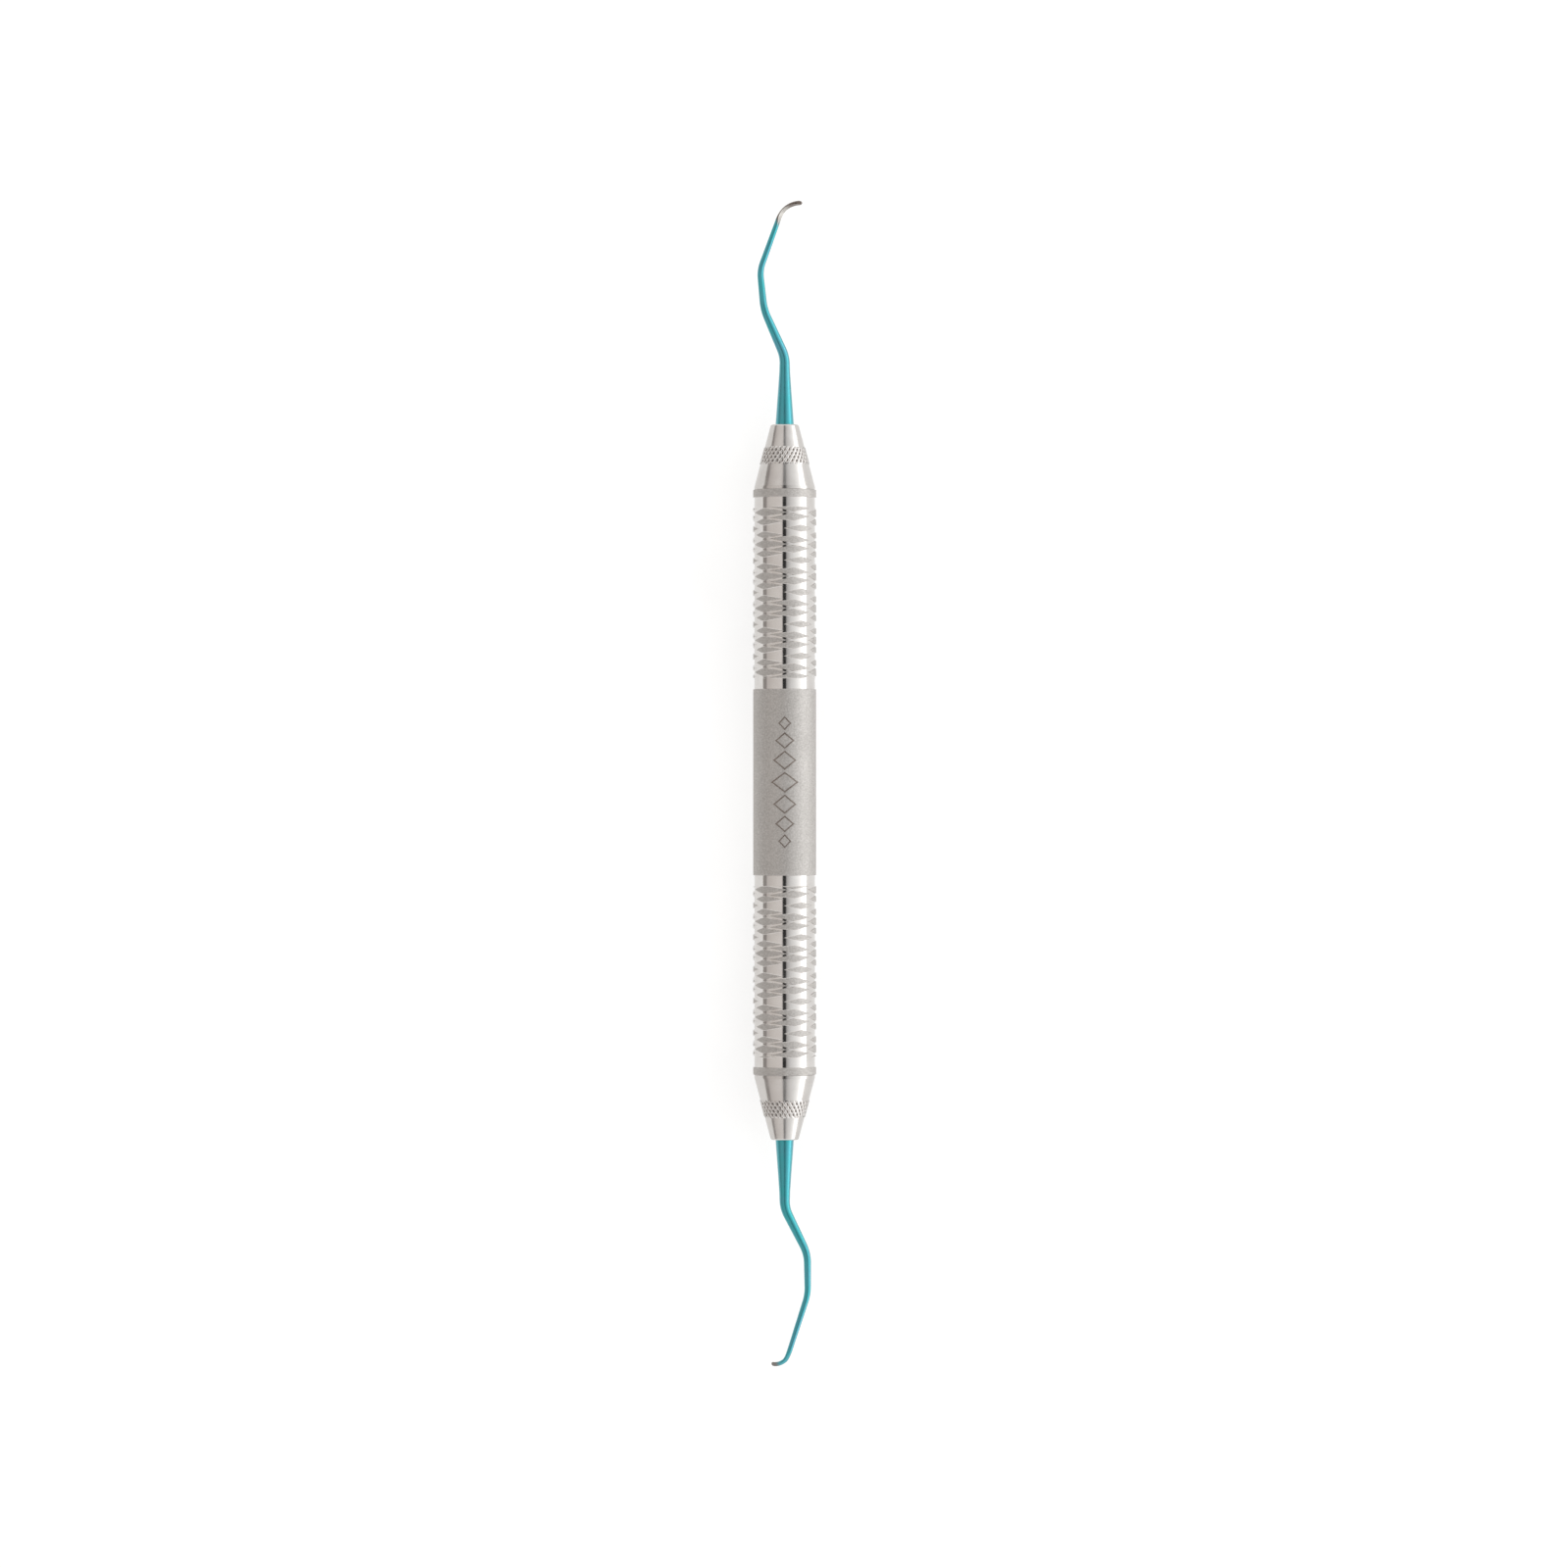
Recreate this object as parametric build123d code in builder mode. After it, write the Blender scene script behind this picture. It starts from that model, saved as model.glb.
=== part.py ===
from build123d import *
import os

# Double-ended dental scaler, in millimetres. The handle lies along Y with its middle at the origin,
# and +Z is up. The two halves are alike, so every place along Y is a distance from the middle.

# Handle tube
land_radius = 4.75  # centre band, grip lands and end rings
ground_radius = 4.59  # polished ground between them
tube_bore_radius = 4.0
centre_band_end = 14.0
grip_start = 15.6
grip_end = 41.4
ring_start = 42.9
tube_end = 44.05
step_slope = 0.1  # length of the slope from the ground up to a land

# End cones
spigot_start = 37.0
spigot_lead = 0.5
spigot_bore_radius = 2.9
spigot_bore_floor = 43.0
lip_length = 0.45
cone_face = 53.9
cone_face_radius = 2.1
cone_edge_round = 0.3
knurl_start = 47.85
knurl_end = 50.5
knurl_height = 0.08
mouth_radius = 1.5
mouth_depth = 0.15

# Working ends
tang_radius = 1.39
tang_start = 43.5
tang_lead = 0.4
bend_radius = 5.0

# Each centreline is given from its cone outwards, by points across, along and up. The two ends are
# a mirror-image pair bent by hand, so they differ by a few tenths of a millimetre.
upper_bends = [(0.0, 64.2, 0.0), (-3.12, 71.15, 1.4), (-3.72, 77.2, -0.2), (-1.02, 84.7, -0.6)]
upper_blade = [(-0.34, 85.98, -0.45), (0.45, 86.7, -0.05), (1.43, 87.12, 0.55)]
upper_toe = (2.6, 87.2, 1.4)
upper_toe_direction = (0.85, -0.05, 0.55)
lower_bends = [(0.0, 64.2, 0.0), (3.42, 71.1, -0.3), (3.48, 77.1, 1.5), (0.88, 85.2, 1.0)]
lower_blade = [(0.24, 86.8, 0.5), (-0.48, 87.48, -0.2), (-1.25, 87.78, -1.1)]
lower_toe = (-1.9, 87.8, -2.0)
lower_toe_direction = (-0.6, -0.05, -0.8)

# Shank diameter at distances along its centreline from the cone's face
shank_taper = [(0.0, 2.78), (5.4, 1.98), (7.9, 1.64), (10.3, 1.50), (18.2, 1.13), (24.3, 0.95)]
shank_taper += [(32.0, 0.80)]

# Blade sections at fractions of the blade's length: radius, and how far the flat face lies from the centre
blade_sections = [(0.0, 0.40, 0.24), (0.15, 0.40, 0.11), (0.35, 0.39, 0.05), (0.6, 0.39, 0.11)]
blade_sections += [(0.75, 0.39, 0.18), (0.9, 0.38, 0.22), (0.96, 0.32, 0.18), (1.0, 0.17, 0.09)]

os.makedirs("parts", exist_ok=True)


with BuildPart() as handle_tube:
    with BuildSketch(Plane.XY):
        with BuildLine():
            Polyline(
                (tube_bore_radius, 0),
                (land_radius, 0),
                (land_radius, centre_band_end),
                (ground_radius, centre_band_end + step_slope),
                (ground_radius, grip_start - step_slope),
                (land_radius, grip_start),
                (land_radius, grip_end),
                (ground_radius, grip_end + step_slope),
                (ground_radius, ring_start - step_slope),
                (land_radius, ring_start),
                (land_radius, tube_end),
                (tube_bore_radius, tube_end),
                close=True,
            )
        make_face()
    revolve(axis=Axis.Y)
    mirror(about=Plane.XZ)

# The cone's radius falls evenly from the lip to the end face.
cone_start = tube_end + lip_length
cone_slope = (ground_radius - cone_face_radius) / (cone_face - cone_start)


def cone_radius(along):
    return ground_radius - cone_slope * (along - cone_start)


with BuildPart() as upper_end_cone:
    with BuildSketch(Plane.XY):
        with BuildLine():
            Polyline(
                (tang_radius, spigot_bore_floor),
                (spigot_bore_radius, spigot_bore_floor),
                (spigot_bore_radius, spigot_start),
                (tube_bore_radius - spigot_lead, spigot_start),
                (tube_bore_radius, spigot_start + spigot_lead),
                (tube_bore_radius, tube_end),
                (ground_radius, tube_end),
                (ground_radius, cone_start),
                (cone_radius(knurl_start), knurl_start),
                (cone_radius(knurl_start) + knurl_height, knurl_start + knurl_height),
                (cone_radius(knurl_end) + knurl_height, knurl_end - knurl_height),
                (cone_radius(knurl_end), knurl_end),
                (cone_face_radius, cone_face),
                (mouth_radius, cone_face),
                (mouth_radius, cone_face - mouth_depth),
                (tang_radius, cone_face - mouth_depth),
                close=True,
            )
        make_face()
    revolve(axis=Axis.Y)
    end_rim = upper_end_cone.edges().group_by(Axis.Y)[-1].sort_by(SortBy.RADIUS)[-1]
    fillet(end_rim, radius=cone_edge_round)

with BuildPart() as lower_end_cone:
    mirror(upper_end_cone.part, about=Plane.XZ)


def section_plane(route, distance, side):
    """The plane square to the route at a distance along it, with its X axis along side."""
    place = distance / route.length
    return Plane(origin=route @ place, x_dir=side, z_dir=route % place)


def shank_diameter(distance):
    """Even taper between the stations of shank_taper."""
    for (start, wide), (end, narrow) in zip(shank_taper, shank_taper[1:]):
        if distance <= end:
            return wide + (narrow - wide) * (distance - start) / (end - start)
    return shank_taper[-1][1]


def build_working_end(bends, blade, toe, toe_direction):
    """A tang, a tapered round shank of straight runs joined by arcs, and a blade with a flat inner face."""
    run_direction = Vector(*bends[-1]) - Vector(*bends[-2])
    with BuildLine() as centreline:
        FilletPolyline((0, cone_face, 0), *bends, radius=bend_radius)
        Spline(bends[-1], *blade, toe, tangents=(run_direction, toe_direction))
    route = centreline.wire()
    side = run_direction.cross(Vector(*toe_direction)).normalized()
    *shank_edges, blade_edge = centreline.edges().sort_by(route)

    with BuildPart() as working_end:
        with BuildSketch(Plane.XY):
            with BuildLine():
                Polyline(
                    (0, tang_start),
                    (tang_radius - tang_lead, tang_start),
                    (tang_radius, tang_start + tang_lead),
                    (tang_radius, cone_face),
                    (0, cone_face),
                    close=True,
                )
            make_face()
        revolve(axis=Axis.Y)
        distance = 0.0
        for edge in shank_edges:
            for end in (distance, distance + edge.length):
                with BuildSketch(section_plane(route, end, side)):
                    Circle(shank_diameter(end) / 2)
            sweep(path=edge, multisection=True)
            distance += edge.length
        for place, radius, flat_offset in blade_sections:
            with BuildSketch(section_plane(route, distance + place * blade_edge.length, side)):
                Circle(radius)
                with Locations((0, -radius - flat_offset)):
                    Rectangle(2 * radius, 2 * radius, mode=Mode.SUBTRACT)
        loft()
    return working_end


upper_working_end = build_working_end(upper_bends, upper_blade, upper_toe, upper_toe_direction)
lower_shape = build_working_end(lower_bends, lower_blade, lower_toe, lower_toe_direction)
with BuildPart() as lower_working_end:
    mirror(lower_shape.part, about=Plane.XZ)

pieces = {
    "handle_tube": handle_tube,
    "upper_end_cone": upper_end_cone,
    "lower_end_cone": lower_end_cone,
    "upper_working_end": upper_working_end,
    "lower_working_end": lower_working_end,
}
for name, piece in pieces.items():
    piece.part.label = name
    export_step(piece.part, f"parts/{name}.step")
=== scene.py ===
import math

import bmesh
import bpy
import numpy as np
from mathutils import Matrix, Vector


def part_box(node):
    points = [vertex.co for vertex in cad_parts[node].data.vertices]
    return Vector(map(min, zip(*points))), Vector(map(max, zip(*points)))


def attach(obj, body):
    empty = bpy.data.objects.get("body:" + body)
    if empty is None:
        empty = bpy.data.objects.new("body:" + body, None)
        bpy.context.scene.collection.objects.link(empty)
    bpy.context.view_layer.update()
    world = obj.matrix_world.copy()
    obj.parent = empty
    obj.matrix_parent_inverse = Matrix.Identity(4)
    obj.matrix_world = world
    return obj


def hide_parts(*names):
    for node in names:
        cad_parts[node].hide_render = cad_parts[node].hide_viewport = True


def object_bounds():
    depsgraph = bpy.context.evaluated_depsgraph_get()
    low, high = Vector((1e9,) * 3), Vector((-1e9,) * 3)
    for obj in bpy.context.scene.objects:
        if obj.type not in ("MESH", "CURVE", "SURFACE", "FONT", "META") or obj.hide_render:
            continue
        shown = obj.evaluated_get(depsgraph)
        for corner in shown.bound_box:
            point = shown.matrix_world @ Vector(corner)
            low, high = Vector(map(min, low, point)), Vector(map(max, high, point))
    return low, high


# Double-ended dental scaler. Lengths are in millimetres, and are turned into metres where a mesh is made.
# The handle's axis is the Y axis. "Along" is a place on it, and "turn" is an angle round it in degrees,
# from straight up towards +X. The two halves are alike, so most places are distances from the middle.
MM = 0.001

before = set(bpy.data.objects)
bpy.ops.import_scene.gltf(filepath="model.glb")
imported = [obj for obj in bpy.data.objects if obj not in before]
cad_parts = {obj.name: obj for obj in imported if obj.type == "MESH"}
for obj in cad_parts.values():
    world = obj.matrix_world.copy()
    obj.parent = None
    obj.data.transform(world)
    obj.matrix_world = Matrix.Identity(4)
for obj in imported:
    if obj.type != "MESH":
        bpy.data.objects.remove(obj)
start_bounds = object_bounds()

# Main sizes, from the boxes of the solids
_, tube_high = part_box("handle_tube")
cone_low, cone_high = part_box("upper_end_cone")
land_radius = tube_high.z / MM
tube_end = tube_high.y / MM
spigot_start = cone_low.y / MM
cone_face = cone_high.y / MM

# Handle tube: matte centre band and end rings at land_radius, with polished ground between them
ground_radius = 4.59
bore_radius = 4.0
centre_band_end = 14.0
grip_start = 15.6
grip_end = 41.4
ring_start = 42.9
edge_round = 0.05
step_width = 0.09
# The side of a step, with a hollow foot: share of its width, share of its height.
step_profile = [(0.38, 0.14), (0.68, 0.38), (1.0, 1.0)]

# End cones
spigot_bore_radius = 2.9
spigot_bore_floor = 43.0
spigot_lead = 0.5
lip_length = 0.45
cone_face_radius = 2.1
cone_edge_round = 0.3
mouth_radius = 1.5
mouth_depth = 0.15
mouth_edge = 0.03

# Knurled band of an end cone: its ridges stand knurl_height above the cone, its pits are knurl_depth below
knurl_start = 47.85
knurl_end = 50.5
knurl_height = 0.08
knurl_depth = 0.09
knurl_starts = 30
knurl_pitch = 1.1
knurl_first_row = 48.33
low_ridge_height = 0.8
knurl_margin = 0.04

# Working ends
tang_radius = 1.39
tang_start = 43.5
tang_lead = 0.4
tang_margin = 0.2


# ---------------------------------------------------------------- meshes


def make_object(name, vertices, faces, materials, face_materials, sharp_angle=22, **attributes):
    """A closed mesh object from points in millimetres, with sharp edges where the surface turns.

    Each further keyword names an attribute and gives its value at every point.
    """
    mesh = bpy.data.meshes.new(name)
    mesh.from_pydata([tuple(c * MM for c in v) for v in vertices], [], faces)
    for material in materials:
        mesh.materials.append(material)
    mesh.polygons.foreach_set("material_index", face_materials)
    for key, values in attributes.items():
        mesh.attributes.new(key, "FLOAT", "POINT").data.foreach_set("value", values)
    bm = bmesh.new()
    bm.from_mesh(mesh)
    bmesh.ops.remove_doubles(bm, verts=bm.verts, dist=0.0005 * MM)
    bmesh.ops.dissolve_degenerate(bm, edges=bm.edges, dist=0.0005 * MM)
    bmesh.ops.recalc_face_normals(bm, faces=bm.faces)
    bm.to_mesh(mesh)
    bm.free()
    mesh.polygons.foreach_set("use_smooth", [True] * len(mesh.polygons))
    mesh.set_sharp_from_angle(angle=math.radians(sharp_angle))
    piece = bpy.data.objects.new(name, mesh)
    bpy.context.scene.collection.objects.link(piece)
    return piece


def turned_grid(rings, strip_materials, columns):
    """Vertices, faces and face materials of rings about Y, joined in order and back to the first one.

    A ring is (radius, along), each a number or one value for every column. strip_materials has the material
    of the strip that follows each ring.
    """
    turns = np.radians(np.arange(columns) * 360.0 / columns)
    vertices = []
    for radius, along in rings:
        radius = np.broadcast_to(radius, columns)
        along = np.broadcast_to(along, columns)
        vertices += [
            (r * math.sin(t), a, r * math.cos(t)) for r, a, t in zip(radius, along, turns)
        ]
    faces, materials = [], []
    for ring, material in enumerate(strip_materials):
        here, there = ring * columns, (ring + 1) % len(rings) * columns
        for column in range(columns):
            beside = (column + 1) % columns
            faces.append((here + column, here + beside, there + beside, there + column))
            materials.append(material)
    return vertices, faces, materials


# ---------------------------------------------------------------- handle tube

handle_columns = 180
column_turns = np.arange(handle_columns) * 360.0 / handle_columns
POLISHED, MATTE, ENGRAVED = 0, 1, 2

# Raised lands of the grip, repeated three times round the handle and every 4.8 mm along it.
# Each row: place along at the widest turn, lean per degree, left tip, widest turn, right tip, half width.
lattice_pitch = 4.8
lattice_repeats = 3
upper_first_row = 18.94
lower_first_row = 18.55
side_bulge = 0.85
lattice_rows = [
    (0.0, 0.0, -1, 34, 63, 0.54),
    (0.97, 0.0, -66, -42, -3, 0.56),
    (1.70, 0.0032, -29, 18, 53, 0.59),
    (2.40, 0.0, -72, -41, 7, 0.69),
    (3.10, -0.0032, -29, 18, 53, 0.59),
    (3.83, 0.0, -66, -42, -3, 0.56),
]
smallest_land = 0.004


def land_outline(place, lean, left, widest, right, half_width):
    """A land's middle line and half width at each column, with sides that bulge a little."""
    sector = 360.0 / lattice_repeats
    middles = np.full(handle_columns, place)
    widths = np.zeros(handle_columns)
    for column, turn in enumerate(column_turns):
        from_widest = (turn - widest + sector / 2) % sector - sector / 2
        reach = right - widest if from_widest > 0 else widest - left
        share = 1 - abs(from_widest) / reach
        if share > 0:
            widths[column] = half_width * share**side_bulge
            middles[column] += lean * from_widest
    return middles, np.where(widths < smallest_land, 0.0, widths)


def grip_rings(first_row, low, high):
    """Rings of one grip zone from low to high, with a row of the lattice's first kind at first_row."""
    rows = []
    period = math.floor((low - first_row) / lattice_pitch) - 1
    while first_row + period * lattice_pitch < high + lattice_pitch:
        for row in lattice_rows:
            middles, halves = land_outline(*row)
            middles = middles + first_row + period * lattice_pitch
            if low - halves.max() < middles.min() and middles.max() < high + halves.max():
                rows.append((middles, halves))
        period += 1
    starts = np.array([np.clip(middles - halves, low, high) for middles, halves in rows])
    ends = np.array([np.clip(middles + halves, low, high) for middles, halves in rows])
    empty = ends - starts < 2 * smallest_land
    # Where a row has no land its lines close up and keep out of the lands beside them.
    for column in range(handle_columns):
        for row, (middles, _) in enumerate(rows):
            if empty[row, column]:
                before = ends[:row, column][~empty[:row, column]]
                after = starts[row + 1 :, column][~empty[row + 1 :, column]]
                lowest = before.max() if len(before) else low
                highest = after.min() if len(after) else high
                place = min(max(middles[column], lowest), highest)
                starts[row, column] = ends[row, column] = place
    rings, strips = [], []
    for start, end in zip(starts, ends):
        slope = np.minimum(step_width, (end - start) / 2)
        rise = (land_radius - ground_radius) * slope / step_width
        near_side = [(ground_radius + rise * up, start + slope * out) for out, up in step_profile]
        far_side = [(ground_radius + rise * up, end - slope * out) for out, up in reversed(step_profile)]
        rings += [(ground_radius, start), *near_side, *far_side, (ground_radius, end)]
        strips += [POLISHED] * len(near_side) + [MATTE] + [POLISHED] * (len(far_side) + 1)
    return rings, strips


# Engraved ornament on the centre band: a chain of outlined lozenges on the upper side.
# Each lozenge: place along, half length, half width in degrees.
engraving_depth = 0.05
engraving_width = 0.352
engraving_wall = 0.048
side_lozenges = [(3.3, 1.5, 22), (6.25, 1.3, 18), (8.85, 1.1, 12)]
lozenges = [(-place, length, width) for place, length, width in reversed(side_lozenges)]
lozenges += [(0.0, 1.6, 26), *side_lozenges]


def engraved_rings():
    """Rings of the centre band, with a closed groove round each lozenge."""
    rings, strips = [], []
    signed_turns = (column_turns + 180) % 360 - 180
    for centre, half_length, half_width in lozenges:
        share = np.clip(1 - np.abs(signed_turns) / half_width, 0, 1)
        outer = half_length * share
        inner = np.maximum(outer - engraving_width, 0)
        wall = np.minimum(engraving_wall, outer * 0.2)
        floor_radius = np.where(outer > 0, land_radius - engraving_depth, land_radius)
        inner_floor = np.where(inner > 0, land_radius, floor_radius)
        rings += [
            (land_radius, centre - outer),
            (floor_radius, centre - outer + wall),
            (floor_radius, centre - inner - wall * (inner > 0)),
            (inner_floor, centre - inner),
            (inner_floor, centre + inner),
            (floor_radius, centre + inner + wall * (inner > 0)),
            (floor_radius, centre + outer - wall),
            (land_radius, centre + outer),
        ]
        strips += [MATTE, ENGRAVED, MATTE, MATTE, MATTE, ENGRAVED, MATTE, MATTE]
    return rings, strips


def half_tube_rings(first_row):
    """Rings and strips from the centre band's end to the tube's end, for one half of the handle."""
    rings, strips = [], []

    def add(radius, along, material):
        rings.append((radius, along))
        strips.append(material)

    add(land_radius, centre_band_end - 0.5, MATTE)
    add(land_radius, centre_band_end - edge_round, MATTE)
    add(land_radius - edge_round / 3, centre_band_end, POLISHED)
    add(ground_radius, centre_band_end + edge_round, POLISHED)
    add(ground_radius, grip_start - edge_round, POLISHED)
    grip, grip_strips = grip_rings(first_row, grip_start, grip_end)
    rings.extend(grip)
    strips.extend(grip_strips)
    add(ground_radius, grip_end + edge_round, POLISHED)
    add(ground_radius, ring_start - edge_round, POLISHED)
    add(land_radius - edge_round / 3, ring_start, MATTE)
    add(land_radius, ring_start + edge_round, MATTE)
    add(land_radius, tube_end - edge_round, MATTE)
    add(land_radius - edge_round, tube_end, POLISHED)
    add(bore_radius, tube_end, POLISHED)
    return rings, strips


def build_handle_tube(materials):
    upper, upper_strips = half_tube_rings(upper_first_row)
    lower, lower_strips = half_tube_rings(lower_first_row)
    band, band_strips = engraved_rings()
    rings = [(r, -np.asarray(a)) for r, a in reversed(lower)] + band + upper
    # Turned round, each strip follows the ring that came after it.
    strips = list(reversed(lower_strips[:-1])) + [MATTE] + band_strips + upper_strips
    vertices, faces, face_materials = turned_grid(rings, strips, handle_columns)
    return make_object("handle_tube_fine", vertices, faces, materials, face_materials)


# ---------------------------------------------------------------- end cones

cone_start = tube_end + lip_length
cone_slope = (ground_radius - cone_face_radius) / (cone_face - cone_start)
knurl_detail = 8
cone_columns = knurl_detail * knurl_starts


def cone_radius(along):
    return ground_radius - cone_slope * (along - cone_start)


def cone_outline():
    """Rings of an end cone from the knurl's outer end, over the face and through the bores, to its inner end.

    Pairs of rings close together keep the shading flat beside the edges.
    """
    face_turn = math.atan(cone_slope)
    round_steps = 6
    round_start = cone_face - cone_edge_round * (1 - math.sin(face_turn))
    round_centre = cone_radius(round_start) - cone_edge_round * math.cos(face_turn)
    rings = [
        (cone_radius(knurl_end + knurl_margin), knurl_end + knurl_margin),
        (cone_radius(knurl_end + 2.5 * knurl_margin), knurl_end + 2.5 * knurl_margin),
        (cone_radius(round_start - 1.5 * knurl_margin), round_start - 1.5 * knurl_margin),
    ]
    for step in range(round_steps + 1):
        lean = face_turn + (math.pi / 2 - face_turn) * step / round_steps
        radius = round_centre + cone_edge_round * math.cos(lean)
        rings.append((radius, cone_face - cone_edge_round * (1 - math.sin(lean))))
    rings += [
        (mouth_radius + mouth_edge, cone_face),
        (mouth_radius, cone_face - mouth_edge),
        (mouth_radius, cone_face - mouth_depth),
        (tang_radius, cone_face - mouth_depth),
        (tang_radius, spigot_bore_floor),
        (spigot_bore_radius, spigot_bore_floor),
        (spigot_bore_radius, spigot_start),
        (bore_radius - spigot_lead, spigot_start),
        (bore_radius, spigot_start + spigot_lead),
        (bore_radius, tube_end),
        (ground_radius - edge_round, tube_end),
        (ground_radius, tube_end + edge_round),
        (ground_radius, tube_end + 2 * edge_round),
        (ground_radius, cone_start - 2 * edge_round),
        (ground_radius, cone_start - edge_round),
        (cone_radius(cone_start + edge_round), cone_start + edge_round),
        (cone_radius(cone_start + 2 * edge_round), cone_start + 2 * edge_round),
        (cone_radius(knurl_start - 2.5 * knurl_margin), knurl_start - 2.5 * knurl_margin),
        (cone_radius(knurl_start - knurl_margin), knurl_start - knurl_margin),
    ]
    return rings


def smooth_step(low, high, value):
    share = min(max((value - low) / (high - low), 0.0), 1.0)
    return share * share * (3 - 2 * share)


def knurl_pit(column, along):
    """Depth of the knurl, 0 to 1: grooves leaning one way, crossed by lower ridges leaning the other way."""
    round_share = column / knurl_detail
    along_share = (along - knurl_first_row) / knurl_pitch
    from_groove = abs((round_share - along_share) % 1 - 0.5) * 2
    from_ridge = 1 - abs((round_share + along_share) % 1 - 0.5) * 2
    groove = smooth_step(0.3, 0.85, 1 - from_groove)
    return groove * (1 - low_ridge_height * (1 - smooth_step(0.05, 0.75, from_ridge)))


def build_end_cone(name, sign, materials):
    """One end cone; sign is 1 for the upper end and -1 for the lower.

    Its attribute "pit" is 1 in the knurl's pits, where the material paints shade.
    """
    rings = cone_outline()
    vertices, faces, _ = turned_grid(rings, [0] * (len(rings) - 1), cone_columns)
    pits = [0.0] * len(vertices)
    turns = np.radians(np.arange(cone_columns) * 360.0 / cone_columns)
    knurl_steps = round((knurl_end - knurl_start) / knurl_pitch * knurl_detail)
    for step in range(knurl_steps + 1):
        along = knurl_start + (knurl_end - knurl_start) * step / knurl_steps
        knurled = 0 < step < knurl_steps
        for column, turn in enumerate(turns):
            pit = knurl_pit(column, along) if knurled else 0.0
            proud = knurl_height if knurled else 0.0
            radius = cone_radius(along) + proud - (knurl_height + knurl_depth) * pit
            vertices.append((radius * math.sin(turn), along, radius * math.cos(turn)))
            pits.append(pit)
    # The knurl's rings join the outline's last ring to its first.
    starts = [(len(rings) - 1 + step) * cone_columns for step in range(knurl_steps + 2)] + [0]
    for here, there in zip(starts, starts[1:]):
        for column in range(cone_columns):
            beside = (column + 1) % cone_columns
            faces.append((here + column, here + beside, there + beside, there + column))
    vertices = [(x, sign * y, z) for x, y, z in vertices]
    return make_object(name, vertices, faces, materials, [0] * len(faces), sharp_angle=50, pit=pits)


# ---------------------------------------------------------------- working ends

# Each centreline is given from its cone outwards, by points across, along and up.
upper_bends = [(0.0, 64.2, 0.0), (-3.12, 71.15, 1.4), (-3.72, 77.2, -0.2), (-1.02, 84.7, -0.6)]
upper_blade = [(-0.34, 85.98, -0.45), (0.45, 86.7, -0.05), (1.43, 87.12, 0.55), (2.6, 87.2, 1.4)]
upper_toe_direction = (0.85, -0.05, 0.55)
lower_bends = [(0.0, 64.2, 0.0), (3.42, 71.1, -0.3), (3.48, 77.1, 1.5), (0.88, 85.2, 1.0)]
lower_blade = [(0.24, 86.8, 0.5), (-0.48, 87.48, -0.2), (-1.25, 87.78, -1.1), (-1.9, 87.8, -2.0)]
lower_toe_direction = (-0.6, -0.05, -0.8)
bend_radius = 5.0
shank_spacing = 0.3

# Shank diameter at distances along its centreline from the cone's face
shank_taper = [(0.0, 2.78), (5.4, 1.98), (7.9, 1.64), (10.3, 1.50), (18.2, 1.13), (24.3, 0.95)]
shank_taper += [(32.0, 0.80)]

# Blade: the last toe_round of it narrows to toe_blunt of its radius
blade_radius = 0.38
toe_radius = 0.375
toe_round = 0.62
toe_blunt = 0.12
blade_twist = math.radians(-8)
blade_spacing = 0.06

# Points round a section, and how many of them are on the blade's flat face
section_points = 48
face_points = 13


def rounded_route(points, radius, spacing):
    """Points along straight runs joined by arcs of the radius, no further apart than the spacing."""
    points = [Vector(p) for p in points]
    route = [points[0]]

    def run_to(place):
        start = route[-1]
        steps = max(1, math.ceil((place - start).length / spacing))
        route.extend(start.lerp(place, (i + 1) / steps) for i in range(steps))

    for before, corner, after in zip(points, points[1:], points[2:]):
        into, out = (corner - before).normalized(), (after - corner).normalized()
        turn = into.angle(out)
        cut = radius * math.tan(turn / 2)
        run_to(corner - into * cut)
        centre = corner + (out - into).normalized() * radius / math.cos(turn / 2)
        arm = route[-1] - centre
        steps = max(3, math.ceil(radius * turn / spacing * 2))
        for i in range(steps):
            sweep = turn * (i + 1) / steps
            route.append(centre + arm * math.cos(sweep) + into * radius * math.sin(sweep))
    run_to(points[-1])
    return route


def smooth_curve(points, first_direction, last_direction, spacing):
    """Points on a smooth curve through the given points, leaving and arriving in the given directions."""
    points = [Vector(p) for p in points]
    tangents = [(b - a) / 2 for a, b in zip(points, points[2:])]
    tangents.insert(0, Vector(first_direction).normalized() * (points[1] - points[0]).length)
    tangents.append(Vector(last_direction).normalized() * (points[-1] - points[-2]).length)
    curve = []
    for i, (start, end) in enumerate(zip(points, points[1:])):
        steps = max(2, math.ceil((end - start).length / spacing))
        for step in range(steps):
            t = (step + 1) / steps
            curve.append(
                start * (2 * t**3 - 3 * t**2 + 1)
                + tangents[i] * (t**3 - 2 * t**2 + t)
                + end * (3 * t**2 - 2 * t**3)
                + tangents[i + 1] * (t**3 - t**2)
            )
    return curve


def shank_radius(distance):
    places, diameters = zip(*shank_taper)
    return float(np.interp(distance, places, diameters)) / 2


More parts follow.
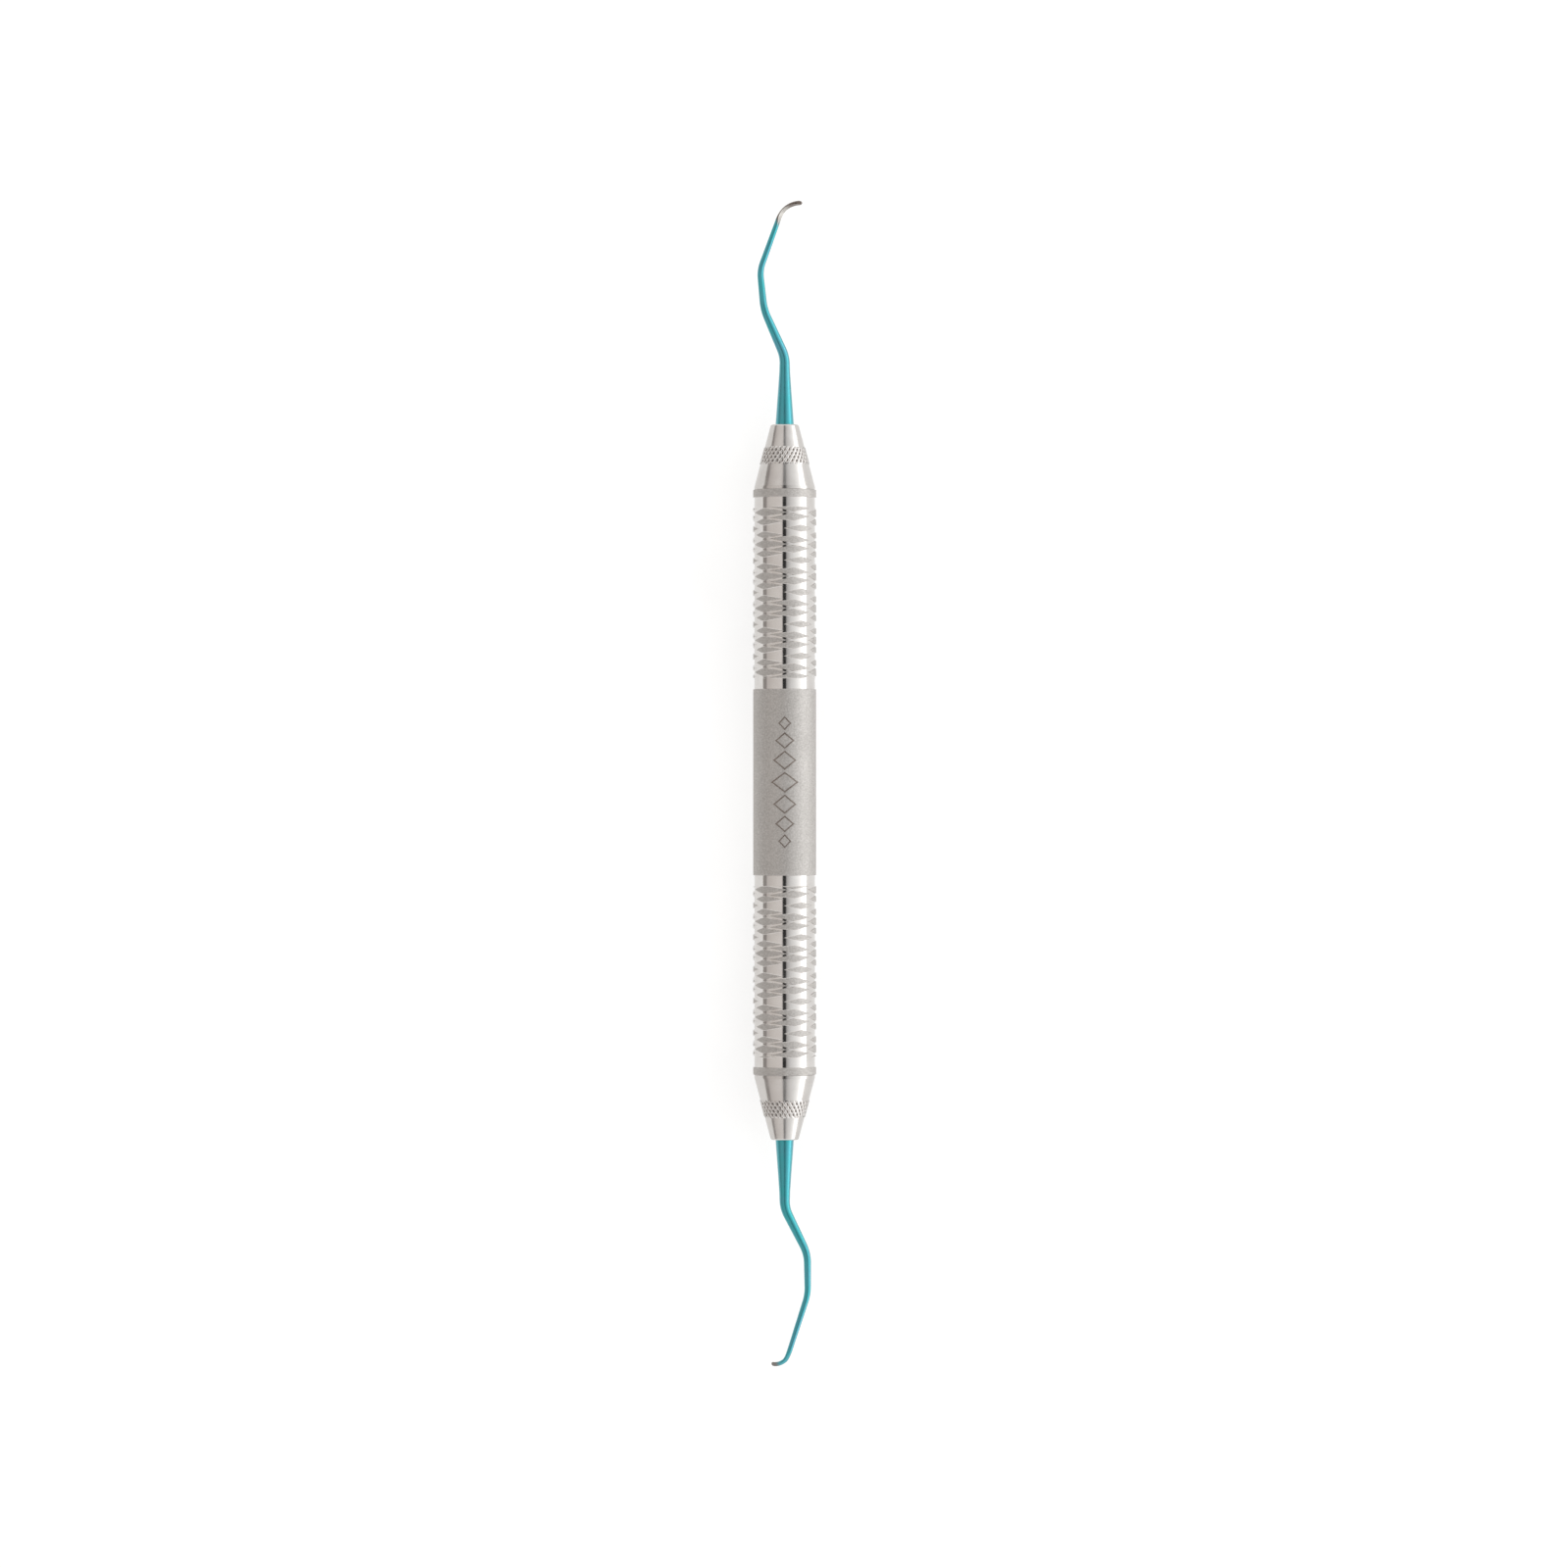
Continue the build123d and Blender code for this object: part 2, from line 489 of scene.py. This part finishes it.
def section_outline(flatness, flat_offset):
    """A unit circle's points, or with flatness a D with its flat side down at flat_offset from the centre."""
    face_half = math.radians(45) + flatness * (math.acos(flat_offset) - math.radians(45))
    outline = []
    for i in range(face_points):
        share = 2 * i / (face_points - 1) - 1
        on_arc = (math.sin(share * face_half), -math.cos(share * face_half))
        on_flat = (share * math.sin(face_half), -math.cos(face_half))
        outline.append(tuple(a + flatness * (f - a) for a, f in zip(on_arc, on_flat)))
    back_points = section_points - face_points
    for i in range(back_points):
        angle = face_half + (i + 1) / (back_points + 1) * (2 * math.pi - 2 * face_half)
        outline.append((math.sin(angle), -math.cos(angle)))
    return outline


def build_working_end(name, sign, bends, blade, toe_direction, materials):
    """Tang, shank and blade as one closed mesh.

    Its attribute "bare" is 1 where the coating is ground away, and "honed" is 1 where a highlight is painted
    on the face.
    """
    shank = rounded_route([(0, cone_face, 0), *bends], bend_radius, shank_spacing)
    run_direction = (Vector(bends[-1]) - Vector(bends[-2])).normalized()
    route = shank + smooth_curve([bends[-1], *blade], run_direction, toe_direction, blade_spacing)
    side = run_direction.cross(Vector(toe_direction)).normalized()
    distances = [0.0]
    for a, b in zip(route, route[1:]):
        distances.append(distances[-1] + (b - a).length)
    blade_start = distances[len(shank) - 1]
    blade_length = distances[-1] - blade_start
    shank_tip_radius = shank_radius(blade_start)

    # Each section: centre, direction, radius, flatness, flat offset, twist, distance past the blade's start
    along_y = Vector((0, 1, 0))
    tang = [(tang_start, tang_radius - tang_lead), (tang_start + tang_lead, tang_radius)]
    tang.append((cone_face - tang_margin, tang_radius))
    sections = [
        (Vector((0, place, 0)), along_y, radius, 0.0, 0.5, 0.0, place - cone_face - blade_start)
        for place, radius in tang
    ]
    for i, centre in enumerate(route):
        before, after = route[max(i - 1, 0)], route[min(i + 1, len(route) - 1)]
        reach = distances[i] - blade_start
        share = reach / blade_length
        radius = shank_radius(distances[i])
        if share > 0:
            radius = blade_radius + (toe_radius - blade_radius) * smooth_step(0.5, 1.0, share)
            radius += (shank_tip_radius - blade_radius) * (1 - smooth_step(0, 0.3, share))
        to_toe = blade_length - reach
        if to_toe < toe_round:
            radius *= max(math.sqrt(1 - (1 - to_toe / toe_round) ** 2), toe_blunt)
        flatness = smooth_step(-0.25, 0.1, share)
        flat_offset = 0.95 - 0.85 * smooth_step(-0.25, 0.3, share) + 0.5 * smooth_step(0.4, 0.9, share)
        twist = blade_twist * smooth_step(-0.1, 0.25, share) * (1 - smooth_step(0.5, 0.95, share))
        sections.append((centre, (after - before).normalized(), radius, flatness, flat_offset, twist, reach))

    vertices, bare, honed = [], [], []
    for centre, along, radius, flatness, flat_offset, twist, reach in sections:
        share = reach / blade_length
        across = (side - along * side.dot(along)).normalized()
        up = along.cross(across)
        across, up = (
            across * math.cos(twist) + up * math.sin(twist),
            up * math.cos(twist) - across * math.sin(twist),
        )
        # The coating is ground off one flank and the face, and worn off round the toe.
        toe_worn = 0.8 * smooth_step(blade_length - 2.9, blade_length - 1.1, reach)
        for i, (x, y) in enumerate(section_outline(flatness, flat_offset)):
            place = centre + across * (x * radius) + up * (y * radius)
            vertices.append((place.x, sign * place.y, place.z))
            flank = smooth_step(-0.15, 0.15, -(x + 0.72 * y))
            begun = smooth_step(-0.8, 0.8, reach + 0.05 - 0.6 * y)
            on_face = flatness if i < face_points else 0.0
            bare.append(max(flank * begun, toe_worn, on_face * begun))
            # Painted highlight on the blade's face, fading out towards the toe.
            honed.append(on_face * (1 - 0.95 * smooth_step(0.3, 0.7, share)))
    faces = []
    for section in range(len(sections) - 1):
        here, there = section * section_points, (section + 1) * section_points
        for i in range(section_points):
            beside = (i + 1) % section_points
            faces.append((here + i, here + beside, there + beside, there + i))
    faces.append(tuple(range(section_points)))
    faces.append(tuple(range(len(vertices) - section_points, len(vertices))))
    return make_object(
        name, vertices, faces, materials, [0] * len(faces), sharp_angle=32, bare=bare, honed=honed
    )


# ---------------------------------------------------------------- materials


class Shader:
    """A material's node tree, with short calls to add and link nodes."""

    def __init__(self, name):
        self.material = bpy.data.materials.new(name)
        self.material.use_nodes = True
        self.tree = self.material.node_tree
        self.surface = self.tree.nodes["Principled BSDF"]

    def add(self, kind, **settings):
        node = self.tree.nodes.new(kind)
        for key, value in settings.items():
            if hasattr(node, key):
                setattr(node, key, value)
            else:
                node.inputs[key.replace("_", " ")].default_value = value
        return node

    def link(self, output, target):
        self.tree.links.new(output, target)

    def noise(self, scale, detail=3.0, stretch=(1.0, 1.0, 1.0)):
        """Noise in object space; scale is in features per millimetre."""
        place = self.add("ShaderNodeTexCoord")
        mapping = self.add("ShaderNodeMapping")
        mapping.inputs["Scale"].default_value = [s * scale / MM for s in stretch]
        noise = self.add("ShaderNodeTexNoise", noise_dimensions="3D")
        noise.inputs["Scale"].default_value = 1.0
        noise.inputs["Detail"].default_value = detail
        self.link(place.outputs["Object"], mapping.inputs["Vector"])
        self.link(mapping.outputs["Vector"], noise.inputs["Vector"])
        return noise.outputs["Fac"]

    def spread(self, factor, low, high, from_low=0.3, from_high=0.7):
        """The factor stretched from one range to another."""
        node = self.add("ShaderNodeMapRange")
        node.inputs["From Min"].default_value = from_low
        node.inputs["From Max"].default_value = from_high
        node.inputs["To Min"].default_value = low
        node.inputs["To Max"].default_value = high
        self.link(factor, node.inputs["Value"])
        return node.outputs["Result"]

    def blend(self, factor, dark, light):
        """A colour between two colours or colour outputs."""
        node = self.add("ShaderNodeMix", data_type="RGBA")
        self.link(factor, node.inputs[0])
        for value, socket in ((dark, node.inputs[6]), (light, node.inputs[7])):
            if isinstance(value, tuple):
                socket.default_value = (*value, 1.0)
            else:
                self.link(value, socket)
        return node.outputs[2]

    def blend_values(self, factor, low, high):
        node = self.add("ShaderNodeMix", data_type="FLOAT")
        self.link(factor, node.inputs[0])
        for value, socket in ((low, node.inputs[2]), (high, node.inputs[3])):
            if isinstance(value, float):
                socket.default_value = value
            else:
                self.link(value, socket)
        return node.outputs[0]

    def bump(self, height, distance, strength=1.0, under=None):
        node = self.add("ShaderNodeBump")
        node.inputs["Distance"].default_value = distance * MM
        node.inputs["Strength"].default_value = strength
        self.link(height, node.inputs["Height"])
        if under is not None:
            self.link(under, node.inputs["Normal"])
        return node.outputs["Normal"]


def blasted_steel():
    """Steel blasted to an even satin with a fine grain."""
    shader = Shader("blasted_steel")
    grain = shader.noise(4.5, detail=4.0)
    clouds = shader.noise(0.25, detail=3.0)
    colour = shader.blend(shader.spread(grain, 0, 1), (0.40, 0.38, 0.36), (0.56, 0.54, 0.52))
    shader.link(colour, shader.surface.inputs["Base Color"])
    shader.link(shader.spread(clouds, 0.56, 0.64), shader.surface.inputs["Roughness"])
    shader.link(shader.bump(grain, 0.02, 0.7), shader.surface.inputs["Normal"])
    shader.surface.inputs["Metallic"].default_value = 1.0
    return shader.material


def polished_steel():
    """Turned and polished steel, with faint lathe lines round it."""
    shader = Shader("polished_steel")
    lines = shader.noise(1.0, detail=2.0, stretch=(0.05, 14.0, 0.05))
    smears = shader.noise(0.4, detail=3.0)
    colour = shader.blend(shader.spread(smears, 0, 1), (0.60, 0.575, 0.555), (0.66, 0.64, 0.62))
    shader.link(colour, shader.surface.inputs["Base Color"])
    shader.link(shader.spread(smears, 0.07, 0.13), shader.surface.inputs["Roughness"])
    shader.link(shader.bump(lines, 0.002, 0.35), shader.surface.inputs["Normal"])
    shader.surface.inputs["Metallic"].default_value = 1.0
    return shader.material


def engraved_steel():
    """The burnt floor of the laser engraving."""
    shader = Shader("engraved_steel")
    grain = shader.noise(6.0, detail=3.0)
    colour = shader.blend(shader.spread(grain, 0, 1), (0.16, 0.13, 0.11), (0.34, 0.30, 0.27))
    shader.link(colour, shader.surface.inputs["Base Color"])
    shader.link(shader.spread(grain, 0.45, 0.6), shader.surface.inputs["Roughness"])
    shader.link(shader.bump(grain, 0.02, 0.8), shader.surface.inputs["Normal"])
    shader.surface.inputs["Metallic"].default_value = 1.0
    return shader.material


def cone_steel():
    """Turned steel, a little duller than the handle's, with painted shade darkening the knurl's pits."""
    shader = Shader("cone_steel")
    lines = shader.noise(1.0, detail=2.0, stretch=(0.05, 14.0, 0.05))
    smears = shader.noise(0.4, detail=3.0)
    unshaded_steel = shader.blend(shader.spread(smears, 0, 1), (0.54, 0.515, 0.495), (0.60, 0.58, 0.56))
    pit = shader.add("ShaderNodeAttribute", attribute_name="pit").outputs["Fac"]
    # Painted shade: the pit attribute darkens the colour in the knurl's pits, standing in for the shade
    # inside them.
    colour = shader.blend(shader.spread(pit, 0, 1, 0.15, 0.75), unshaded_steel, (0.21, 0.185, 0.17))
    shader.link(colour, shader.surface.inputs["Base Color"])
    shader.link(shader.spread(smears, 0.15, 0.20), shader.surface.inputs["Roughness"])
    shader.link(shader.bump(lines, 0.002, 0.35), shader.surface.inputs["Normal"])
    shader.surface.inputs["Metallic"].default_value = 1.0
    return shader.material


def coated_steel():
    """Glossy teal coating on the shank, ground away to bare steel at the blade; the bare steel has painted
    shade on the flank and a painted highlight on the face.
    """
    shader = Shader("coated_steel")
    clouds = shader.noise(0.30, detail=3.0)
    grain = shader.noise(9.0, detail=2.0)
    scratches = shader.noise(1.0, detail=2.0, stretch=(9.0, 0.8, 9.0))
    teal = shader.blend(shader.spread(clouds, 0, 1), (0.055, 0.30, 0.375), (0.014, 0.345, 0.37))
    # Painted light on the bare steel: the flank's colour is darkened as painted shade, and the face's colour
    # is lightened as a painted highlight.
    flank = shader.blend(shader.spread(scratches, 0, 1), (0.13, 0.105, 0.09), (0.24, 0.205, 0.185))
    face = shader.blend(shader.spread(scratches, 0, 1), (0.40, 0.38, 0.355), (0.58, 0.56, 0.53))
    honed = shader.add("ShaderNodeAttribute", attribute_name="honed").outputs["Fac"]
    steel = shader.blend(shader.spread(honed, 0, 1, 0.15, 0.85), flank, face)
    mask = shader.add("ShaderNodeAttribute", attribute_name="bare").outputs["Fac"]
    ragged = shader.add("ShaderNodeMath", operation="ADD")
    shader.link(mask, ragged.inputs[0])
    shader.link(shader.spread(grain, -0.15, 0.15), ragged.inputs[1])
    bare = shader.spread(ragged.outputs[0], 0.0, 1.0, 0.2, 0.8)
    shader.link(shader.blend(bare, teal, steel), shader.surface.inputs["Base Color"])
    teal_roughness = shader.spread(clouds, 0.30, 0.36)
    steel_roughness = shader.spread(scratches, 0.22, 0.34)
    roughness = shader.blend_values(bare, teal_roughness, steel_roughness)
    shader.link(roughness, shader.surface.inputs["Roughness"])
    shader.link(shader.blend_values(bare, 1.0, 0.0), shader.surface.inputs["Coat Weight"])
    shader.link(shader.bump(scratches, 0.0015, 0.4), shader.surface.inputs["Normal"])
    shader.surface.inputs["Metallic"].default_value = 1.0
    shader.surface.inputs["Coat Roughness"].default_value = 0.3
    return shader.material


def light_table():
    """A pale translucent sheet, evenly lit from below."""
    shader = Shader("light_table")
    cloud = shader.noise(0.05, detail=3.0)
    colour = shader.blend(shader.spread(cloud, 0, 1), (0.34, 0.34, 0.335), (0.38, 0.38, 0.375))
    shader.link(colour, shader.surface.inputs["Base Color"])
    shader.link(shader.spread(cloud, 0.8, 0.9), shader.surface.inputs["Roughness"])
    shader.surface.inputs["Specular IOR Level"].default_value = 0.2
    shader.surface.inputs["Emission Color"].default_value = (1.0, 1.0, 1.0, 1.0)
    shader.surface.inputs["Emission Strength"].default_value = 0.72
    return shader.material


# ---------------------------------------------------------------- the object

blasted, polished = blasted_steel(), polished_steel()
engraved, turned, coated = engraved_steel(), cone_steel(), coated_steel()

tube = build_handle_tube([polished, blasted, engraved])
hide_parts("handle_tube")
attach(tube, "root")

for name, sign in (("upper_end_cone", 1), ("lower_end_cone", -1)):
    cone = build_end_cone(f"{name}_fine", sign, [turned])
    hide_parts(name)
    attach(cone, "root")

for name, sign, bends, blade, toe_direction in (
    ("upper_working_end", 1, upper_bends, upper_blade, upper_toe_direction),
    ("lower_working_end", -1, lower_bends, lower_blade, lower_toe_direction),
):
    end = build_working_end(f"{name}_fine", sign, bends, blade, toe_direction, [coated])
    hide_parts(name)
    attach(end, "root")


# ---------------------------------------------------------------- studio

rest_height = start_bounds[0].z
floor_half_width = 1500.0

# What the picture takes in at the handle's height
picture_width = 236.4
picture_middle = (-0.1, -0.27)


def make_floor():
    """A wide sheet that the handle rests on."""
    half = floor_half_width * MM
    corners = [(-half, -half, rest_height), (half, -half, rest_height)]
    corners += [(half, half, rest_height), (-half, half, rest_height)]
    mesh = bpy.data.meshes.new("floor")
    mesh.from_pydata(corners, [], [(0, 1, 2, 3)])
    mesh.materials.append(light_table())
    floor = bpy.data.objects.new("floor", mesh)
    bpy.context.scene.collection.objects.link(floor)


# Brightness of the light tent by angle across the object, from straight up: left is negative.
# A dark slit runs overhead between a soft panel on the left and a brighter one, low on the right.
tent_bands = [
    (-180, (0.85, 0.85, 0.85)),
    (-92, (0.85, 0.85, 0.85)),
    (-90, (0.36, 0.34, 0.32)),
    (-84, (0.42, 0.40, 0.38)),
    (-74, (0.34, 0.31, 0.30)),
    (-71, (0.68, 0.64, 0.62)),
    (-54, (0.78, 0.74, 0.71)),
    (-40, (0.83, 0.79, 0.76)),
    (-9, (0.90, 0.86, 0.84)),
    (-7, (0.04, 0.04, 0.04)),
    (5, (0.04, 0.04, 0.04)),
    (7, (0.50, 0.49, 0.49)),
    (22, (0.86, 0.86, 0.86)),
    (44, (1.18, 1.19, 1.19)),
    (62, (1.55, 1.56, 1.57)),
    (76, (2.75, 2.77, 2.79)),
    (97, (2.75, 2.77, 2.79)),
    (100, (0.85, 0.85, 0.85)),
    (180, (0.85, 0.85, 0.85)),
]
tent_strength = 3.0

# Beyond the handle's two ends the tent opens to bright walls, between these two shares of the way there.
end_brightness = 1.3
opening_start = 0.40
opening_end = 0.90


def make_tent():
    world = bpy.data.worlds.new("tent")
    bpy.context.scene.world = world
    world.use_nodes = True
    tree = world.node_tree
    place = tree.nodes.new("ShaderNodeTexCoord")
    parts = tree.nodes.new("ShaderNodeSeparateXYZ")
    angle = tree.nodes.new("ShaderNodeMath")
    angle.operation = "ARCTAN2"
    turn = tree.nodes.new("ShaderNodeMapRange")
    turn.inputs["From Min"].default_value = -math.pi
    turn.inputs["From Max"].default_value = math.pi
    ramp = tree.nodes.new("ShaderNodeValToRGB")
    bands = ramp.color_ramp.elements
    while len(bands) < len(tent_bands):
        bands.new(0.5)
    for band, (degrees, colour) in zip(bands, tent_bands):
        band.position = (degrees + 180) / 360
        band.color = (*[c / tent_strength for c in colour], 1.0)
    tree.links.new(place.outputs["Generated"], parts.inputs[0])
    tree.links.new(parts.outputs["X"], angle.inputs[0])
    tree.links.new(parts.outputs["Z"], angle.inputs[1])
    tree.links.new(angle.outputs[0], turn.inputs["Value"])
    tree.links.new(turn.outputs["Result"], ramp.inputs["Fac"])
    endwards = tree.nodes.new("ShaderNodeMath")
    endwards.operation = "ABSOLUTE"
    opening = tree.nodes.new("ShaderNodeMapRange")
    opening.interpolation_type = "SMOOTHSTEP"
    opening.inputs["From Min"].default_value = opening_start
    opening.inputs["From Max"].default_value = opening_end
    mix = tree.nodes.new("ShaderNodeMix")
    mix.data_type = "RGBA"
    mix.inputs[7].default_value = (*[end_brightness / tent_strength] * 3, 1.0)
    background = tree.nodes["Background"]
    background.inputs["Strength"].default_value = tent_strength
    tree.links.new(parts.outputs["Y"], endwards.inputs[0])
    tree.links.new(endwards.outputs[0], opening.inputs["Value"])
    tree.links.new(opening.outputs["Result"], mix.inputs[0])
    tree.links.new(ramp.outputs["Color"], mix.inputs[6])
    tree.links.new(mix.outputs[2], background.inputs["Color"])


def make_camera():
    """Straight above the handle, through a long lens, with the upper end at the top of the picture."""
    data = bpy.data.cameras.new("camera")
    data.lens = 150
    data.sensor_width = 36
    data.clip_end = 10
    camera = bpy.data.objects.new("camera", data)
    distance = picture_width * data.lens / data.sensor_width
    camera.location = (picture_middle[0] * MM, picture_middle[1] * MM, distance * MM)
    bpy.context.scene.collection.objects.link(camera)
    bpy.context.scene.camera = camera


make_floor()
make_tent()
make_camera()
bpy.context.scene.view_settings.view_transform = "Standard"
